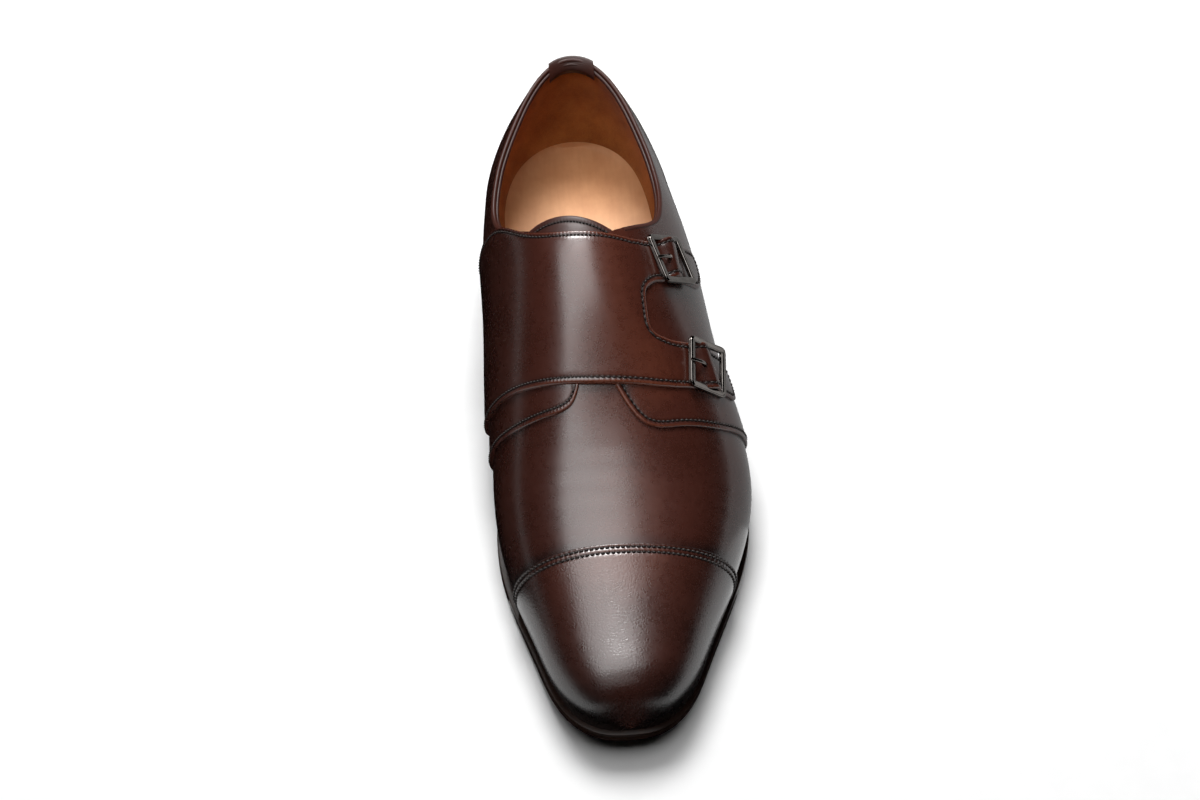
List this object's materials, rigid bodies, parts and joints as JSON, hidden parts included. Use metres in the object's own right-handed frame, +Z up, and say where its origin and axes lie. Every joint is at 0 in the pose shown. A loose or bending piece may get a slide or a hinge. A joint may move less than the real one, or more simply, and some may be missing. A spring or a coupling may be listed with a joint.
{
  "type": "double monk strap shoe",
  "caption": "Left leather shoe with a toe cap and a flap over the instep that closes with buckled straps on the outer side.",
  "frame": {"origin": "middle of the shoe's box, on the floor that the shoe stands on", "axes": "+Z up, toe towards -Y, heel towards +Y, outer side with the buckles towards +X"},
  "size_m": [0.1088, 0.2988, 0.1015],
  "materials": {
    "sole_leather": "dark edge dye, waxed and polished",
    "heel_leather": "stacked leather, dark edge dye, polished",
    "heel_rubber": "matte rubber top lift",
    "insole_leather": "smooth undyed lining leather",
    "vamp_leather": "fine grained calf, polished",
    "cap_leather": "fine grained calf, burnished darker towards the toe",
    "quarter_leather": "fine grained calf, polished",
    "tongue_leather": "fine grained calf, polished",
    "flap_leather": "fine grained calf, polished",
    "buckle_metal": "polished dark nickel"
  },
  "bodies": {
    "root": {"outsole": "sole_leather", "heel_stack": "heel_leather", "top_lift": "heel_rubber", "insole": "insole_leather", "upper": "vamp_leather", "toe_cap": "cap_leather", "quarter_lateral": "quarter_leather", "quarter_medial": "quarter_leather", "back_tab": "quarter_leather", "tongue": "tongue_leather", "monk_flap": "flap_leather", "buckle_frame_upper": "buckle_metal", "buckle_prong_upper": "buckle_metal", "buckle_tab_upper": "quarter_leather", "buckle_frame_lower": "buckle_metal", "buckle_prong_lower": "buckle_metal", "buckle_tab_lower": "quarter_leather"}
  },
  "joints": []
}
